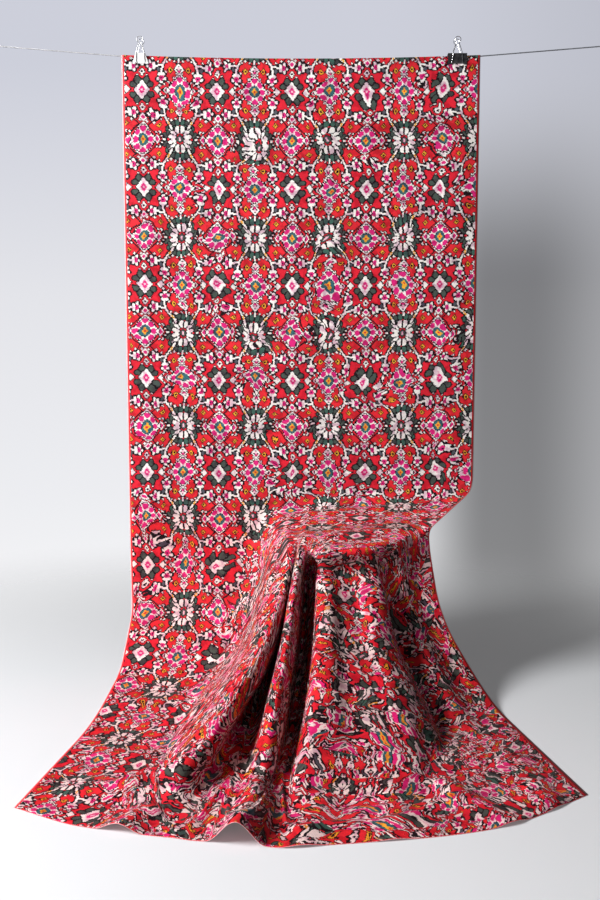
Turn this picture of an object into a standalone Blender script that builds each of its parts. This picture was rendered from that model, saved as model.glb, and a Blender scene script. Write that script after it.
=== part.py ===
"""Silk brocade fabric hung over a taut wire by two binder clips, its foot swept forward over the floor.

Metres, +Z up, +X to the viewer's right, -Y towards the viewer. The floor is z = 0.
"""
from collections import namedtuple
from math import cos, pi, radians, sin, tau

import bmesh
import bpy
import numpy as np
from mathutils import Matrix, Vector

# ---- driving sizes -------------------------------------------------------------------------------
CLOTH_WIDTH = 0.93  # across the hanging part
CLOTH_THICK = 0.0016
GAP = 0.0003  # between pieces that touch on the real object
HEAD_Z = 1.634  # top of the wire at the two corners of the cloth
PLANE_Y = 0.5083  # the hanging plane: it puts the middle of the whole box over the origin

WIRE_RADIUS = 0.0015
WIRE_SAG = 0.009  # the cloth's weight between the clips
WIRE_SLOPE = 0.079  # rise towards each wall beyond the cloth
WIRE_HALF = 0.835  # half of the wire's span between its terminals

FLAP_DROP = 0.038  # length of the head turned down behind the wire
FLAP_CLOSE = 0.012  # how far down the flap meets the front layer

TERMINAL_RADIUS = 0.003
TERMINAL_LENGTH = 0.022
EYE_RADIUS = 0.006  # of the terminal's eye and of the wall eye, to the middle of the bar
EYE_BAR = 0.0014
PLATE_RADIUS = 0.016
PLATE_THICK = 0.004
SHANK_LENGTH = 0.010

CLIP_SHEET = 0.0009
CLIP_HEIGHT = 0.024  # spine to lips
CLIP_SPINE = 0.017  # depth of the spine, front to back
CLIP_ABOVE = 0.0035  # spine above the fold of the cloth
ROLL_RADIUS = 0.0019  # of each rolled lip, to the middle of its sheet
HANDLE_WIRE = 0.00095
HANDLE_RING = 0.0075
HANDLE_RISE = 0.034  # ring's centre above the spine
LEG_SHARE = 0.28  # of the clip's width, from its middle to each leg

# ---- the folds of the cloth, one row for each line that runs from head to hem, left to right -------
# across: place on the flat width. leave: height at which the line leaves the hanging plane. brow, tuck, shin
# and foot: corners of its way down, which are rounded; the tuck runs back in under the overhanging brow.
# hem: its end. y is measured from the hanging plane.
Fold = namedtuple(
    "Fold",
    "name across leave brow_x brow_y brow_z tuck_x tuck_y tuck_z shin_x shin_y shin_z foot_x foot_y hem_x hem_y",
)
FOLDS = tuple(Fold(*row) for row in (
    ("left_edge", 0.000, 0.300, -0.457, -0.035, 0.170, -0.462, -0.100, 0.112, -0.467, -0.180, 0.050, -0.492, -0.420, -0.556, -0.862),
    ("left_panel", 0.130, 0.300, -0.337, -0.035, 0.170, -0.341, -0.105, 0.113, -0.350, -0.190, 0.050, -0.395, -0.430, -0.435, -0.932),
    ("mid_panel", 0.250, 0.320, -0.215, -0.040, 0.175, -0.220, -0.112, 0.118, -0.236, -0.200, 0.055, -0.326, -0.450, -0.350, -0.958),
    ("roll_root", 0.330, 0.360, -0.140, -0.035, 0.235, -0.155, -0.088, 0.172, -0.182, -0.140, 0.110, -0.296, -0.460, -0.302, -0.972),
    ("roll_flank", 0.380, 0.425, -0.080, -0.110, 0.350, -0.096, -0.175, 0.262, -0.138, -0.290, 0.150, -0.298, -0.640, -0.268, -0.979),
    ("roll_crest", 0.420, 0.435, -0.030, -0.215, 0.382, -0.038, -0.268, 0.300, -0.082, -0.455, 0.190, -0.262, -0.850, -0.232, -0.987),
    ("roll_back", 0.445, 0.440, -0.016, -0.235, 0.378, -0.026, -0.236, 0.290, -0.064, -0.385, 0.145, -0.212, -0.750, -0.198, -0.996),
    ("valley_one", 0.470, 0.446, -0.010, -0.235, 0.378, -0.022, -0.165, 0.300, -0.052, -0.130, 0.120, -0.118, -0.340, -0.168, -1.000),
    ("pleat_one", 0.496, 0.454, -0.008, -0.278, 0.376, -0.020, -0.262, 0.322, -0.048, -0.415, 0.185, -0.106, -0.770, -0.134, -1.006),
    ("pleat_side", 0.524, 0.456, 0.005, -0.284, 0.376, 0.001, -0.262, 0.322, -0.014, -0.420, 0.185, -0.066, -0.790, -0.104, -1.010),
    ("valley_two", 0.555, 0.460, 0.020, -0.276, 0.380, 0.014, -0.160, 0.322, 0.004, -0.150, 0.140, -0.020, -0.420, -0.074, -1.016),
    ("ridge_two", 0.600, 0.463, 0.052, -0.290, 0.382, 0.038, -0.238, 0.325, 0.028, -0.420, 0.175, -0.008, -0.790, -0.026, -1.024),
    ("dip", 0.648, 0.466, 0.108, -0.286, 0.385, 0.098, -0.232, 0.328, 0.100, -0.400, 0.170, 0.104, -0.725, 0.058, -1.012),
    ("ridge_three", 0.690, 0.468, 0.160, -0.284, 0.389, 0.158, -0.225, 0.336, 0.182, -0.392, 0.168, 0.240, -0.730, 0.162, -0.997),
    ("crease", 0.735, 0.470, 0.203, -0.268, 0.395, 0.200, -0.205, 0.338, 0.226, -0.255, 0.162, 0.300, -0.530, 0.252, -0.981),
    ("right_panel", 0.830, 0.475, 0.266, -0.232, 0.408, 0.270, -0.188, 0.346, 0.296, -0.180, 0.180, 0.372, -0.380, 0.405, -0.928),
    ("right_edge", 0.930, 0.497, 0.322, -0.200, 0.424, 0.328, -0.182, 0.370, 0.360, -0.168, 0.190, 0.474, -0.280, 0.571, -0.805),
))
ROUND = namedtuple("Round", "leave brow tuck shin foot")(0.040, 0.034, 0.034, 0.090, 0.115)

# ---- the folds that lie on the floor, as soft ridges along a bent line from start, past via, to end ---
# Each one is steep in front, where it faces the hem, and slopes off gently behind.
Ridge = namedtuple("Ridge", "name start_x start_y via_x via_y end_x end_y height end_height behind front")
RIDGES = tuple(Ridge(*row) for row in (
    ("roll_tail", -0.215, -0.720, -0.265, -0.800, -0.420, -0.770, 0.022, 0.010, 0.070, 0.080),
    ("pleat_tail", -0.084, -0.760, -0.088, -0.900, -0.121, -1.030, 0.024, 0.056, 0.060, 0.055),
    ("left_arch", -0.250, -0.850, -0.320, -0.900, -0.347, -1.000, 0.010, 0.024, 0.055, 0.050),
    ("front_ripple", 0.060, -0.800, 0.020, -0.900, 0.000, -1.030, 0.012, 0.006, 0.050, 0.050),
    ("mid_ripple", 0.180, -0.740, 0.190, -0.860, 0.170, -1.000, 0.014, 0.004, 0.050, 0.050),
    ("right_ripple", 0.265, -0.700, 0.310, -0.820, 0.400, -0.930, 0.016, 0.008, 0.055, 0.045),
    ("edge_ripple", 0.430, -0.520, 0.470, -0.640, 0.480, -0.840, 0.006, 0.012, 0.055, 0.050),
))
RIDGE_LEAN = 0.5  # how far a lying fold leans towards the hem, for its height
RIDGE_FADE = 0.12  # height over the floor from which nothing is added
RIDGE_RISE = 0.30  # share of a lying fold over which it rises to its height

# rows of the cloth's grid: how many between each two corners of a fold line
FLAP_ROWS = (0.0, 0.35, 0.62, 0.86, 1.0)
TURN_ROWS = 6
DOWN_ROWS = (0.0, 0.35, 0.66) + tuple(np.round(np.arange(0.72, 5.999, 0.132), 3)) + (6.0,)
ACROSS_SHARES = ((0.000, 0.300, 7), (0.300, 0.750, 27), (0.750, 0.930, 7))
BEND = 0.32  # half of a rounded corner's share of the way between two corners


# ---- helpers --------------------------------------------------------------------------------------
def material(name, colour, roughness, metallic=0.0):
    made = bpy.data.materials.new(name)
    made.use_nodes = True
    shader = made.node_tree.nodes["Principled BSDF"]
    shader.inputs["Base Color"].default_value = (*colour, 1.0)
    shader.inputs["Roughness"].default_value = roughness
    shader.inputs["Metallic"].default_value = metallic
    return made


def keep(name, mesh, surface, smooth=True):
    """The mesh as a named object of the model's collection."""
    piece = bpy.data.objects.new(name, mesh)
    mesh.materials.clear()
    mesh.materials.append(surface)
    model.objects.link(piece)
    if smooth:
        mesh.shade_smooth()
    return piece


def bar(name, points, radius, surface, closed=False):
    """A round bar along points, as a curve with filled ends."""
    curve = bpy.data.curves.new(name, "CURVE")
    curve.dimensions = "3D"
    curve.bevel_depth = radius
    curve.bevel_resolution = 2
    curve.use_fill_caps = not closed
    line = curve.splines.new("POLY")
    line.points.add(len(points) - 1)
    for point, place in zip(line.points, points):
        point.co = (*place, 1.0)
    line.use_cyclic_u = closed
    line.use_smooth = True
    piece = bpy.data.objects.new(name, curve)
    curve.materials.append(surface)
    model.objects.link(piece)
    return piece


def wire_height(x):
    """Middle of the wire: hollowed a little under the cloth's weight, rising straight to the walls."""
    half = CLOTH_WIDTH / 2
    inside = -WIRE_SAG * (1 - np.minimum(np.abs(x) / half, 1.0) ** 2)
    return HEAD_Z - WIRE_RADIUS + inside + WIRE_SLOPE * np.maximum(np.abs(x) - half, 0.0)


# ---- the cloth ------------------------------------------------------------------------------------
def down_line(fold, stations):
    """Points of one fold line at stations from 0, under the wire, to 6, the hem; each corner is rounded."""
    x_top = fold.across - CLOTH_WIDTH / 2
    corner = np.array((
        (x_top, 0.0, wire_height(x_top)),
        (x_top, 0.0, fold.leave),
        (fold.brow_x, fold.brow_y, fold.brow_z),
        (fold.tuck_x, fold.tuck_y, fold.tuck_z),
        (fold.shin_x, fold.shin_y, fold.shin_z),
        (fold.foot_x, fold.foot_y, CLOTH_THICK / 2),
        (fold.hem_x, fold.hem_y, CLOTH_THICK / 2),
    ))
    legs = np.diff(corner, axis=0)
    length = np.linalg.norm(legs, axis=1)
    way = legs / length[:, None]
    last = len(corner) - 1
    reach = [0.0, *(min(r, 0.48 * a, 0.48 * b) for r, a, b in zip(ROUND, length, length[1:])), 0.0]
    points = np.empty((len(stations), 3))
    for k in range(last):
        start = k + BEND if k else 0.0
        end = k + 1 - BEND if k + 1 < last else float(last)
        here = (stations >= start) & (stations <= end)
        share = ((stations[here] - start) / (end - start))[:, None]
        first = corner[k] + way[k] * reach[k]
        second = corner[k + 1] - way[k] * reach[k + 1]
        points[here] = first + (second - first) * share
    for k in range(1, last):
        here = np.abs(stations - k) < BEND
        share = ((stations[here] - k + BEND) / (2 * BEND))[:, None]
        first = corner[k] - way[k - 1] * reach[k]
        second = corner[k] + way[k] * reach[k]
        points[here] = first * (1 - share) ** 2 + corner[k] * 2 * share * (1 - share) + second * share**2
    return points


def between_lines(knots, lines, places):
    """A smooth cubic across the fold lines, at places on the flat width."""
    step = np.diff(knots)[:, None, None]
    slope = np.diff(lines, axis=0) / step
    tangent = np.concatenate((
        slope[:1],
        (slope[:-1] * step[1:] + slope[1:] * step[:-1]) / (step[1:] + step[:-1]),
        slope[-1:],
    ))
    k = np.clip(np.searchsorted(knots, places, side="right") - 1, 0, len(knots) - 2)
    h = step[k]
    f = ((places - knots[k]) / np.diff(knots)[k])[:, None, None]
    return (
        (2 * f**3 - 3 * f**2 + 1) * lines[k]
        + (f**3 - 2 * f**2 + f) * h * tangent[k]
        + (3 * f**2 - 2 * f**3) * lines[k + 1]
        + (f**3 - f**2) * h * tangent[k + 1]
    )


def bent_line(ridge, share):
    """Points of a ridge's crest on the floor."""
    start, via, end = (1 - share) ** 2, 2 * share * (1 - share), share**2
    return (
        start * ridge.start_x + via * ridge.via_x + end * ridge.end_x,
        start * ridge.start_y + via * ridge.via_y + end * ridge.end_y,
    )


def raise_ridges(points):
    """Lifts the points under each fold that lies on the floor, and leans them towards the hem."""
    low = np.clip(1.0 - points[..., 2] / RIDGE_FADE, 0.0, 1.0)
    added = np.zeros(points.shape[:-1])
    share = np.linspace(0.0, 1.0, 49)
    for ridge in RIDGES:
        line_x, line_y = bent_line(ridge, share)
        off_x = points[..., 0, None] - line_x
        off_y = points[..., 1, None] - line_y
        apart = np.hypot(off_x, off_y)
        near = apart.argmin(axis=-1)[..., None]
        to_x, to_y = np.gradient(line_x)[near], np.gradient(line_y)[near]
        in_front = to_x * np.take_along_axis(off_y, near, -1) > to_y * np.take_along_axis(off_x, near, -1)
        width = np.where(in_front, ridge.front, ridge.behind)[..., 0]
        height = ridge.height + (ridge.end_height - ridge.height) * share[near][..., 0]
        bump = np.cos(np.minimum(apart.min(axis=-1) / width, 1.0) * pi / 2) ** 2
        bump *= np.sin(np.minimum(share[near][..., 0] / RIDGE_RISE, 1.0) * pi / 2) ** 2
        added = np.maximum(added, height * bump)
    points[..., 2] += added * low
    points[..., 1] -= added * low * RIDGE_LEAN


def head_rows(places):
    """The flap behind the wire and the turn over it, from the flap's end to the front layer."""
    turn = WIRE_RADIUS + GAP + CLOTH_THICK / 2
    middle = wire_height(places)
    closed = CLOTH_THICK + 2 * GAP
    rows = []
    for share in reversed(FLAP_ROWS):
        drop = share * FLAP_DROP
        ease = min(drop / FLAP_CLOSE, 1.0)
        ease = ease * ease * (3 - 2 * ease)
        back = 2 * turn + (closed - 2 * turn) * ease
        rows.append(np.stack((places, np.full_like(places, back), middle - drop), axis=-1))
    for k in range(1, TURN_ROWS):
        angle = pi * k / TURN_ROWS
        rows.append(np.stack((
            places,
            np.full_like(places, turn + turn * cos(angle)),
            middle + turn * sin(angle),
        ), axis=-1))
    return np.stack(rows, axis=1)


def cloth_points():
    """The cloth's middle surface, as a grid of points: across, then along."""
    knots = np.array([fold.across for fold in FOLDS])
    places = np.unique(np.concatenate([np.linspace(a, b, n + 1) for a, b, n in ACROSS_SHARES]))
    stations = np.array(DOWN_ROWS)
    lines = np.stack([down_line(fold, stations) for fold in FOLDS])
    sheet = between_lines(knots, lines, places)
    sheet[..., 2] = np.maximum(sheet[..., 2], CLOTH_THICK / 2)
    raise_ridges(sheet)
    return np.concatenate((head_rows(places - CLOTH_WIDTH / 2), sheet), axis=1)


def build_cloth(surface):
    grid = cloth_points()
    across, along = grid.shape[:2]
    made = bmesh.new()
    verts = [[made.verts.new(Vector(grid[i, j]) + hanging) for j in range(along)] for i in range(across)]
    for i in range(across - 1):
        for j in range(along - 1):
            made.faces.new((verts[i][j], verts[i][j + 1], verts[i + 1][j + 1], verts[i + 1][j]))
    mesh = bpy.data.meshes.new("cloth")
    made.to_mesh(mesh)
    made.free()
    piece = keep("cloth", mesh, surface)
    solid = piece.modifiers.new("Thickness", "SOLIDIFY")
    solid.thickness = CLOTH_THICK
    solid.offset = 0.0
    return piece


# ---- the wire and its ends --------------------------------------------------------------------------
def build_wire(surface):
    half = CLOTH_WIDTH / 2
    places = np.concatenate((
        np.linspace(-WIRE_HALF, -half, 5)[:-1],
        np.linspace(-half, half, 25),
        np.linspace(half, WIRE_HALF, 5)[1:],
    ))
    return bar("wire", [wire_axis(x) for x in places], WIRE_RADIUS, surface)


def wire_axis(x):
    return Vector((x, WIRE_RADIUS + GAP + CLOTH_THICK / 2, float(wire_height(x)))) + hanging


def build_wire_end(side, suffix, surface):
    """A swaged sleeve with an eye, and the wall eye that it is linked through."""
    way = Vector((side, 0.0, WIRE_SLOPE)).normalized()
    root = wire_axis(side * WIRE_HALF) + way * GAP
    eye_middle = root + way * (TERMINAL_LENGTH + EYE_RADIUS)
    bpy.ops.mesh.primitive_cylinder_add(vertices=20, radius=TERMINAL_RADIUS, depth=TERMINAL_LENGTH)
    sleeve = bpy.context.object
    sleeve.data.transform(
        Matrix.Translation(root + way * TERMINAL_LENGTH / 2) @ way.to_track_quat("Z", "Y").to_matrix().to_4x4()
    )
    eye = torus("eye", eye_middle, EYE_RADIUS, EYE_BAR, (0, 1, 0))
    join_solids(sleeve, eye)
    sleeve.name = sleeve.data.name = f"wire_end_{suffix}"
    finish(sleeve, surface)

    link_middle = eye_middle + Vector((side * (2 * EYE_RADIUS - 2 * EYE_BAR - GAP), 0, 0))
    link = torus("link", link_middle, EYE_RADIUS, EYE_BAR, (0, 0, 1))
    start = link_middle + Vector((side * EYE_RADIUS, 0, 0))
    plate_x = start.x + side * (SHANK_LENGTH + PLATE_THICK / 2)
    bpy.ops.mesh.primitive_cylinder_add(vertices=16, radius=EYE_BAR, depth=SHANK_LENGTH + PLATE_THICK / 2)
    shank = bpy.context.object
    middle = Vector(((start.x + plate_x) / 2, start.y, start.z))
    shank.data.transform(Matrix.Translation(middle) @ Matrix.Rotation(pi / 2, 4, "Y"))
    bpy.ops.mesh.primitive_cylinder_add(vertices=32, radius=PLATE_RADIUS, depth=PLATE_THICK)
    plate = bpy.context.object
    plate.data.transform(Matrix.Translation((plate_x, start.y, start.z)) @ Matrix.Rotation(pi / 2, 4, "Y"))
    join_solids(plate, shank)
    join_solids(plate, link)
    plate.name = plate.data.name = f"wall_eye_{suffix}"
    finish(plate, surface)


def torus(name, middle, radius, bar_radius, normal):
    bpy.ops.mesh.primitive_torus_add(
        major_segments=24, minor_segments=10, major_radius=radius, minor_radius=bar_radius
    )
    made = bpy.context.object
    made.name = name
    turn = Vector(normal).to_track_quat("Z", "Y").to_matrix().to_4x4()
    made.data.transform(Matrix.Translation(middle) @ turn)
    return made


def join_solids(base, other):
    """Fuses other into base and removes it."""
    union = base.modifiers.new("Join", "BOOLEAN")
    union.operation = "UNION"
    union.solver = "EXACT"
    union.object = other
    bpy.context.view_layer.update()
    joined = bpy.data.meshes.new_from_object(base.evaluated_get(bpy.context.evaluated_depsgraph_get()))
    base.modifiers.clear()
    base.data = joined
    bpy.data.objects.remove(other)


def finish(piece, surface):
    """Moves a piece made by an operator into the model's collection, with its material."""
    for home in list(piece.users_collection):
        home.objects.unlink(piece)
    model.objects.link(piece)
    piece.data.materials.clear()
    piece.data.materials.append(surface)
    piece.data.shade_smooth()


# ---- the clips --------------------------------------------------------------------------------------
def lip_place(top, front):
    """Where the clip's sheet meets the cloth on one side: y of the sheet's middle, and z of the lip."""
    inner = GAP + CLIP_SHEET / 2
    cloth_front = -CLOTH_THICK / 2
    cloth_back = 1.5 * CLOTH_THICK + 2 * GAP
    return (cloth_front - inner if front else cloth_back + inner), top - CLIP_HEIGHT


def clip_section(top):
    """The clip's sheet seen from its end, as (y, z): back roll, back face, spine, front face, front roll."""
    front_y, low = lip_place(top, True)
    back_y, low = lip_place(top, False)
    turns = np.radians(np.arange(0, 271, 30))
    front_roll = [(front_y - ROLL_RADIUS * (1 - cos(a)), low - ROLL_RADIUS * sin(a)) for a in turns]
    back_roll = [(back_y + ROLL_RADIUS * (1 - cos(a)), low - ROLL_RADIUS * sin(a)) for a in turns]
    centre = (front_y + back_y) / 2
    spine = [(centre + CLIP_SPINE / 2, top), (centre - CLIP_SPINE / 2, top)]
    return list(reversed(back_roll)) + spine + front_roll


def cut_box(piece, low, high):
    """Cuts the box from low to high, given from the hanging plane, out of the piece."""
    bpy.ops.mesh.primitive_cube_add(size=1)
    cutter = bpy.context.object
    cutter.name = f"{piece.name}_cut"
    size = Vector(high) - Vector(low)
    middle = (Vector(high) + Vector(low)) / 2 + hanging
    cutter.data.transform(Matrix.Translation(middle) @ Matrix.Diagonal((*size, 1.0)))
    for home in list(cutter.users_collection):
        home.objects.unlink(cutter)
    cutters.objects.link(cutter)
    cutter.hide_render = True
    cutter.display_type = "WIRE"
    cut = piece.modifiers.new("Cut", "BOOLEAN")
    cut.operation = "DIFFERENCE"
    cut.solver = "EXACT"
    cut.object = cutter


def half_width(clip, top, z):
    """Half of a clip's width at a height: a clip may narrow from its lips to its spine."""
    up = max(z - (top - CLIP_HEIGHT), 0.0) / CLIP_HEIGHT
    return clip.width / 2 * (1.0 - (1.0 - clip.spine_share) * up)


def build_clip_body(name, clip):
    """A folded spring sheet. Its lips are rolled at both ends and cut straight between, for the legs."""
    top = float(wire_height(clip.x)) + WIRE_RADIUS + GAP + CLOTH_THICK + CLIP_ABOVE
    made = bmesh.new()
    rows = []
    for end in (-1, 1):
        section = [(clip.x + end * half_width(clip, top, z), y, z) for y, z in clip_section(top)]
        rows.append([made.verts.new(Vector(place) + hanging) for place in section])
    for k in range(len(rows[0]) - 1):
        made.faces.new((rows[0][k], rows[1][k], rows[1][k + 1], rows[0][k + 1]))
    mesh = bpy.data.meshes.new(name)
    made.to_mesh(mesh)
    made.free()
    piece = keep(name, mesh, clip.surface, smooth=False)
    sheet = piece.modifiers.new("Sheet", "SOLIDIFY")
    sheet.thickness = CLIP_SHEET
    sheet.offset = 0.0
    sheet.use_even_offset = True
    half_gap = clip.width * LEG_SHARE + HANDLE_WIRE + 0.001
    far = 4 * ROLL_RADIUS
    for front, way in ((True, -1.0), (False, 1.0)):
        lip_y, low = lip_place(top, front)
        near_y = lip_y + way * CLIP_SHEET * 0.6
        sides = sorted((near_y, lip_y + way * far))
        cut_box(piece, (clip.x - half_gap, sides[0], low - far), (clip.x + half_gap, sides[1], low + 1.7 * ROLL_RADIUS))
    front_y = lip_place(top, True)[0] - far
    back_y = lip_place(top, False)[0] + far
    cut_box(piece, (clip.x - half_gap, front_y, low - far), (clip.x + half_gap, back_y, low))
    return top


def build_handle(name, clip, top, front, tilt):
    """A bent wire: two feet in the rolled lip, two legs that close in, and a round ring."""
    out = -1.0 if front else 1.0
    lip_y, lip_z = lip_place(top, front)
    root_y = lip_y + out * ROLL_RADIUS
    centre = (lip_place(top, True)[0] + lip_place(top, False)[0]) / 2
    bow = abs(centre + out * CLIP_SPINE / 2 - root_y) + CLIP_SHEET / 2 + HANDLE_WIRE + 2 * GAP
    ring_up = HANDLE_RISE + CLIP_HEIGHT

    def place(x, up):
        """A point of the handle, at a height over the lip, far enough out to pass the spine."""
        clear = bow * min(up / CLIP_HEIGHT, 1.0) + max(up - CLIP_HEIGHT, 0.0) * tilt
        return Vector((clip.x + x, root_y + out * clear, lip_z + up)) + hanging

    leg = clip.width * LEG_SHARE
    neck_turn = radians(30)
    neck = HANDLE_RING * sin(neck_turn)
    shape = ((clip.width * 0.47, 0.0), (leg + 0.001, 0.0), (leg, 0.0012), (leg * 0.9, CLIP_HEIGHT))
    left = [place(-x, up) for x, up in shape]
    right = [place(x, up) for x, up in reversed(shape)]
    turns = np.linspace(pi + neck_turn, 3 * pi - neck_turn, 19)
    loop = [place(HANDLE_RING * sin(a), ring_up + HANDLE_RING * cos(a)) for a in turns]
    low_neck = ring_up - HANDLE_RING * cos(neck_turn) - 0.004
    left.append(place(-neck * 1.05, low_neck))
    right.insert(0, place(neck * 1.05, low_neck))
    bar(name, left + loop + right, HANDLE_WIRE, nickel)


# ---- the model --------------------------------------------------------------------------------------
for old in list(bpy.data.objects):
    bpy.data.objects.remove(old)
model = bpy.data.collections.new("silk_brocade_fabric_on_wire")
bpy.context.scene.collection.children.link(model)
cutters = bpy.data.collections.new("cutters")
bpy.context.scene.collection.children.link(cutters)
cutters.hide_render = True
hanging = Vector((0.0, PLANE_Y, 0.0))

silk = material("silk_brocade", (0.62, 0.035, 0.05), 0.55)
steel = material("steel_wire", (0.55, 0.56, 0.58), 0.30, 1.0)
nickel = material("nickel_plate", (0.80, 0.80, 0.82), 0.25, 1.0)
black = material("black_enamel", (0.02, 0.02, 0.022), 0.35)
white = material("white_enamel", (0.86, 0.86, 0.85), 0.35)

build_cloth(silk)
build_wire(steel)
for side, suffix in ((-1, "left"), (1, "right")):
    build_wire_end(side, suffix, steel)

Clip = namedtuple("Clip", "suffix x width spine_share surface front_tilt back_tilt")
CLIPS = (
    Clip("left", -0.416, 0.041, 0.62, white, 0.02, 0.06),
    Clip("right", 0.405, 0.049, 1.0, black, 0.02, 0.05),
)
for clip in CLIPS:
    spine_z = build_clip_body(f"clip_{clip.suffix}_body", clip)
    build_handle(f"clip_{clip.suffix}_handle_front", clip, spine_z, True, clip.front_tilt)
    build_handle(f"clip_{clip.suffix}_handle_back", clip, spine_z, False, clip.back_tilt)
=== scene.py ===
from collections import namedtuple
from math import cos, pi, radians, sin

import bpy
import numpy as np
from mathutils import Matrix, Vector


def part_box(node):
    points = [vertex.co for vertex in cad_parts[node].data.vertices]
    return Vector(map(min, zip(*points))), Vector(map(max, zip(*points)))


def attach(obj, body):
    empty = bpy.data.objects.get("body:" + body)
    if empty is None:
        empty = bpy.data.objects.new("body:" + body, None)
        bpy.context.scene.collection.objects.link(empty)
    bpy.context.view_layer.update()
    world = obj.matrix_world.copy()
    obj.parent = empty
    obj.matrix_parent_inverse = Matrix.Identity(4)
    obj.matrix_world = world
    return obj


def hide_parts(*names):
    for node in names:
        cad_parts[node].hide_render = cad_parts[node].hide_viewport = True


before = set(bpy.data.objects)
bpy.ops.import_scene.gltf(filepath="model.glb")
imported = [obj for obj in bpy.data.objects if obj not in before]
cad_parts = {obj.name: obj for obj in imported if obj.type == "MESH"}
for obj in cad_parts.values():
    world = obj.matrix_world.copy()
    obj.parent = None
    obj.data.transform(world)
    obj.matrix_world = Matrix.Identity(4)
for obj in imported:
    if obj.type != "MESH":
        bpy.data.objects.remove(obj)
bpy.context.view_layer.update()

# Sizes in metres, the part's own where it has them: +X to the viewer's right, -Y towards the viewer, and the
# floor at z = 0.
CLOTH_WIDTH = 0.93
CLOTH_THICK = 0.0016  # of the solid cloth
SILK_THICK = 0.0012  # of the cloth shown here
FLOOR_GAP = 0.0001  # under the cloth shown here
GAP = 0.0003  # between pieces that touch on the real object
HEAD_Z = 1.634  # top of the wire at the two corners of the cloth
WIRE_RADIUS = 0.0015
WIRE_SAG = 0.009
WIRE_SLOPE = 0.079  # rise towards each wall beyond the cloth
WIRE_HALF = 0.835  # half of the wire's span between its terminals
FLAP_DROP = 0.038  # length of the head turned down behind the wire
FLAP_CLOSE = 0.012  # how far down the flap meets the front layer

wire_low, wire_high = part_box("wire")
PLANE_Y = (wire_low.y + wire_high.y) / 2 - (WIRE_RADIUS + GAP + CLOTH_THICK / 2)
hanging = Vector((0.0, PLANE_Y, 0.0))


# ---- camera ---------------------------------------------------------------------------------------
CAMERA_AWAY = 2.8  # in front of the hanging plane
CAMERA_Z = 0.9
CAMERA_TILT = radians(84.0)  # from straight down
LENS = 41.8  # in millimetres, for a frame 36 high
SIDE_SHIFT = -0.00111  # of the frame's height

camera_data = bpy.data.cameras.new("camera")
camera_data.sensor_fit = "VERTICAL"
camera_data.sensor_height = 36.0
camera_data.lens = LENS
camera_data.shift_x = SIDE_SHIFT
camera = bpy.data.objects.new("camera", camera_data)
camera.location = (0.0, PLANE_Y - CAMERA_AWAY, CAMERA_Z)
camera.rotation_euler = (CAMERA_TILT, 0.0, 0.0)
bpy.context.scene.collection.objects.link(camera)
bpy.context.scene.camera = camera


# ---- the taut wire --------------------------------------------------------------------------------
HOLLOW_POINTS = 49  # along the wire over the cloth
RISE_POINTS = 5  # along each straight stretch beside it


def wire_height(x):
    """Middle of the wire: hollowed a little under the cloth's weight, rising straight to the walls."""
    half = CLOTH_WIDTH / 2
    inside = -WIRE_SAG * (1 - np.minimum(np.abs(x) / half, 1.0) ** 2)
    return HEAD_Z - WIRE_RADIUS + inside + WIRE_SLOPE * np.maximum(np.abs(x) - half, 0.0)


def wire_axis(x):
    """A point of the wire's middle line, in the whole object's frame."""
    return Vector((x, WIRE_RADIUS + GAP + CLOTH_THICK / 2, float(wire_height(x)))) + hanging


def build_wire():
    """The wire as a mesh, made from a curve that is taken away again."""
    half = CLOTH_WIDTH / 2
    places = np.concatenate((
        np.linspace(-WIRE_HALF, -half, RISE_POINTS)[:-1],
        np.linspace(-half, half, HOLLOW_POINTS),
        np.linspace(half, WIRE_HALF, RISE_POINTS)[1:],
    ))
    points = [wire_axis(x) for x in places]
    curve = bpy.data.curves.new("taut_wire", "CURVE")
    curve.dimensions = "3D"
    curve.bevel_depth = WIRE_RADIUS
    curve.bevel_resolution = 4
    curve.use_fill_caps = True
    line = curve.splines.new("POLY")
    line.points.add(len(points) - 1)
    for point, place in zip(line.points, points):
        point.co = (*place, 1.0)
    line.use_smooth = True
    drawn = bpy.data.objects.new("wire_line", curve)
    bpy.context.scene.collection.objects.link(drawn)
    bpy.context.view_layer.update()
    mesh = bpy.data.meshes.new_from_object(drawn.evaluated_get(bpy.context.evaluated_depsgraph_get()))
    bpy.data.objects.remove(drawn)
    mesh.name = "taut_wire"
    mesh.shade_smooth()
    piece = bpy.data.objects.new("taut_wire", mesh)
    bpy.context.scene.collection.objects.link(piece)
    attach(piece, "root")
    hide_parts("wire")
    return piece


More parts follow.
